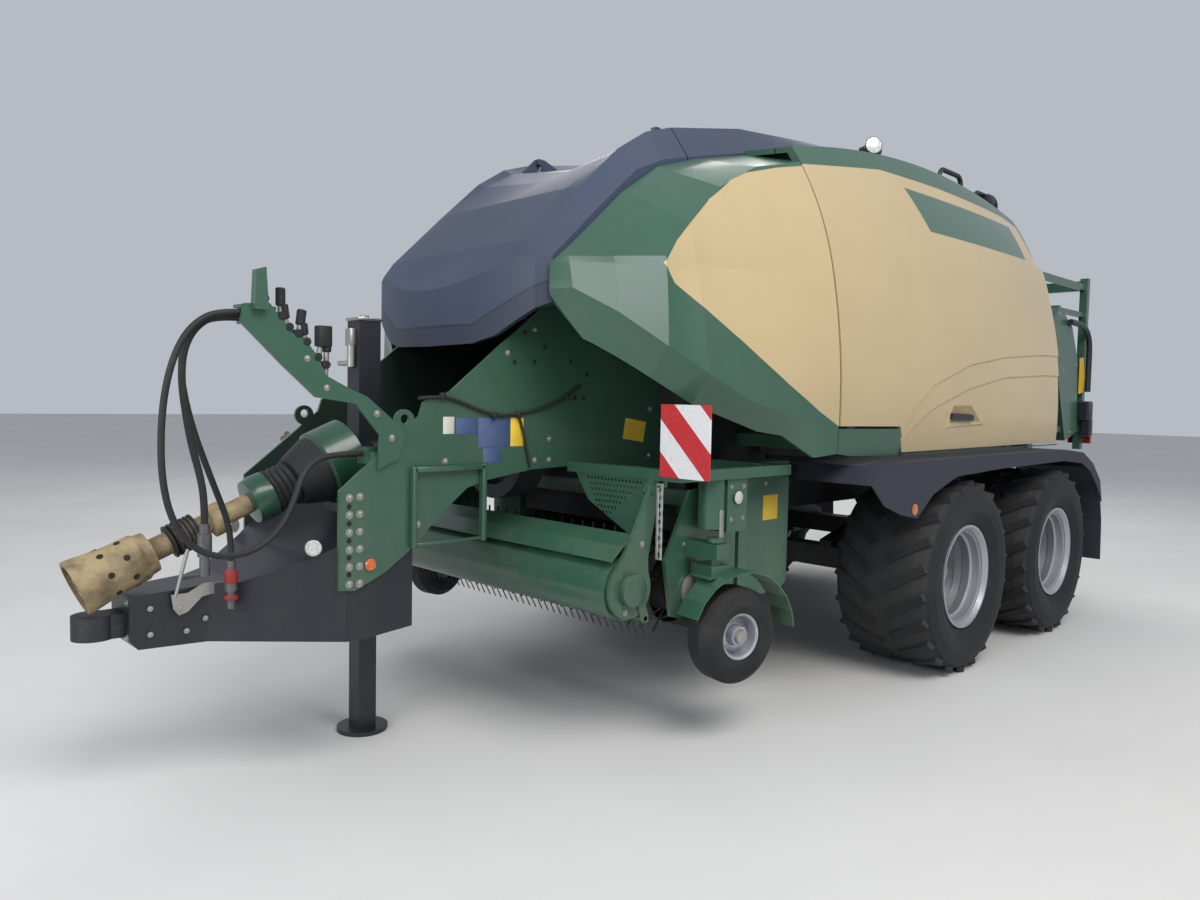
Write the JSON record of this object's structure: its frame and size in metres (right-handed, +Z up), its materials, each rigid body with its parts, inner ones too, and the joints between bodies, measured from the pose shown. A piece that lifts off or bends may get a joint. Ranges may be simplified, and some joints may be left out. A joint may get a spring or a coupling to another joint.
{
  "type": "large square baler",
  "caption": "Towed tandem-axle large square baler with a wide tined pickup, bale chamber, lift-up side doors, hinged front hood, parking jack and folded bale chute.",
  "frame": {"origin": "on the ground under the middle of the machine's bounding box", "axes": "+X forward to the hitch, +Y to the machine's left, +Z up"},
  "size_m": [7.7641, 2.99, 3.257],
  "materials": {
    "black_paint": "satin",
    "board": "gloss",
    "chassis_black": "matt",
    "cream_panel": "gloss",
    "dark_green_paint": "satin",
    "fender_plastic": "matt",
    "green_paint": "satin",
    "hood_grey": "gloss",
    "lamp": "gloss",
    "rim_silver": "satin",
    "rubber": "matt",
    "steel": "worn",
    "tan_plastic": "dirty",
    "tyre": "matt"
  },
  "bodies": {
    "chassis": {"axles": "chassis_black", "bale_chamber": "chassis_black", "body_ribs": "dark_green_paint", "chains": "steel", "drawbar": "black_paint", "feeder_housing": "chassis_black", "fenders": "fender_plastic", "front_panels": "cream_panel", "front_plates": "green_paint", "front_wall": "chassis_black", "hitch_spoon": "steel", "hose_arm": "green_paint", "hose_couplers": "steel", "hose_front": "rubber", "hose_inner": "rubber", "hose_outer": "rubber", "jack_tube": "black_paint", "pto_bell": "rubber", "pto_cone": "tan_plastic", "pto_housing": "dark_green_paint", "pto_tube": "tan_plastic", "rear_frame": "green_paint", "rear_lamps": "lamp", "roof_deck": "dark_green_paint", "roof_fairing": "hood_grey", "roof_rails": "black_paint", "side_beams": "green_paint", "side_shells": "green_paint", "undercarriage": "chassis_black", "warning_boards": "board"},
    "jack": {"jack_leg": "black_paint"},
    "hood": {"front_hood": "hood_grey"},
    "door_left": {"side_door_left": "cream_panel", "door_strip_left": "green_paint"},
    "door_right": {"side_door_right": "cream_panel", "door_strip_right": "green_paint"},
    "knuckle_left": {"knuckle_left": "chassis_black"},
    "knuckle_right": {"knuckle_right": "chassis_black"},
    "wheel_front_left": {"rim_front_left": "rim_silver", "tyre_front_left": "tyre"},
    "wheel_front_right": {"rim_front_right": "rim_silver", "tyre_front_right": "tyre"},
    "wheel_rear_left": {"rim_rear_left": "rim_silver", "tyre_rear_left": "tyre"},
    "wheel_rear_right": {"rim_rear_right": "rim_silver", "tyre_rear_right": "tyre"},
    "flywheel": {"flywheel": "chassis_black"},
    "pickup": {"pickup_frame": "green_paint", "stripper_hoops": "chassis_black"},
    "reel": {"pickup_reel": "chassis_black"},
    "roller_arms": {"roller_arms": "green_paint"},
    "crop_roller": {"crop_roller": "green_paint"},
    "caster_left": {"gauge_fork_left": "green_paint"},
    "caster_right": {"gauge_fork_right": "green_paint"},
    "gauge_wheel_left": {"gauge_rim_left": "rim_silver", "gauge_tyre_left": "tyre"},
    "gauge_wheel_right": {"gauge_rim_right": "rim_silver", "gauge_tyre_right": "tyre"},
    "chute": {"bale_chute": "green_paint"}
  },
  "joints": [
    {"name": "jack_slide", "type": "slide", "parent": "chassis", "child": "jack", "axis": [0, 0, 1], "range_m": [0, 0.45]},
    {"name": "hood_hinge", "type": "hinge", "parent": "chassis", "child": "hood", "pos_m": [1.21395, 0, 3.008], "axis": [0, -1, 0], "range_deg": [0, 50]},
    {"name": "door_hinge_left", "type": "hinge", "parent": "chassis", "child": "door_left", "pos_m": [-0.55205, 0.904, 3.10864], "axis": [1, 0, 0], "range_deg": [0, 70]},
    {"name": "door_hinge_right", "type": "hinge", "parent": "chassis", "child": "door_right", "pos_m": [-0.55205, -0.904, 3.10864], "axis": [-1, 0, 0], "range_deg": [0, 70]},
    {"name": "steer_left", "type": "hinge", "parent": "chassis", "child": "knuckle_left", "pos_m": [-2.00405, 0.74, 0.58], "axis": [0, 0, 1], "range_deg": [-12, 12]},
    {"name": "steer_right", "type": "hinge", "parent": "chassis", "child": "knuckle_right", "pos_m": [-2.00405, -0.74, 0.58], "axis": [0, 0, 1], "range_deg": [-12, 12]},
    {"name": "roll_front_left", "type": "hinge", "parent": "chassis", "child": "wheel_front_left", "pos_m": [-0.55205, 1.19, 0.58], "axis": [0, 1, 0], "continuous": true},
    {"name": "roll_front_right", "type": "hinge", "parent": "chassis", "child": "wheel_front_right", "pos_m": [-0.55205, -1.19, 0.58], "axis": [0, 1, 0], "continuous": true},
    {"name": "roll_rear_left", "type": "hinge", "parent": "knuckle_left", "child": "wheel_rear_left", "pos_m": [-2.00405, 1.19, 0.58], "axis": [0, 1, 0], "continuous": true},
    {"name": "roll_rear_right", "type": "hinge", "parent": "knuckle_right", "child": "wheel_rear_right", "pos_m": [-2.00405, -1.19, 0.58], "axis": [0, 1, 0], "continuous": true},
    {"name": "flywheel_spin", "type": "hinge", "parent": "chassis", "child": "flywheel", "pos_m": [1.86795, 0.065, 1.33], "axis": [1, 0, 0], "continuous": true},
    {"name": "pickup_lift", "type": "hinge", "parent": "chassis", "child": "pickup", "pos_m": [0.59795, 0, 0.9], "axis": [0, 1, 0], "range_deg": [0, 21]},
    {"name": "reel_spin", "type": "hinge", "parent": "pickup", "child": "reel", "pos_m": [1.50795, 0, 0.71], "axis": [0, 1, 0], "continuous": true},
    {"name": "roller_lift", "type": "hinge", "parent": "chassis", "child": "roller_arms", "pos_m": [1.80795, 0, 1.192], "axis": [0, -1, 0], "range_deg": [0, 25]},
    {"name": "roller_spin", "type": "hinge", "parent": "roller_arms", "child": "crop_roller", "pos_m": [1.94795, 0, 0.77], "axis": [0, 1, 0], "continuous": true},
    {"name": "caster_left", "type": "hinge", "parent": "pickup", "child": "caster_left", "pos_m": [1.51795, 1.185, 0.9], "axis": [0, 0, 1], "range_deg": [-18, 20]},
    {"name": "caster_right", "type": "hinge", "parent": "pickup", "child": "caster_right", "pos_m": [1.51795, -1.185, 0.9], "axis": [0, 0, 1], "range_deg": [-20, 18]},
    {"name": "gauge_roll_left", "type": "hinge", "parent": "caster_left", "child": "gauge_wheel_left", "pos_m": [1.41035, 1.20787, 0.517], "axis": [0.2079, 0.9781, 0], "continuous": true},
    {"name": "gauge_roll_right", "type": "hinge", "parent": "caster_right", "child": "gauge_wheel_right", "pos_m": [1.41035, -1.20787, 0.517], "axis": [-0.2079, 0.9781, 0], "continuous": true},
    {"name": "chute_hinge", "type": "hinge", "parent": "chassis", "child": "chute", "pos_m": [-3.40205, 0, 0.92], "axis": [0, -1, 0], "range_deg": [0, 75]}
  ],
  "couplings": [
    {"joint": "steer_right", "follows": "steer_left", "ratio": 1}
  ]
}
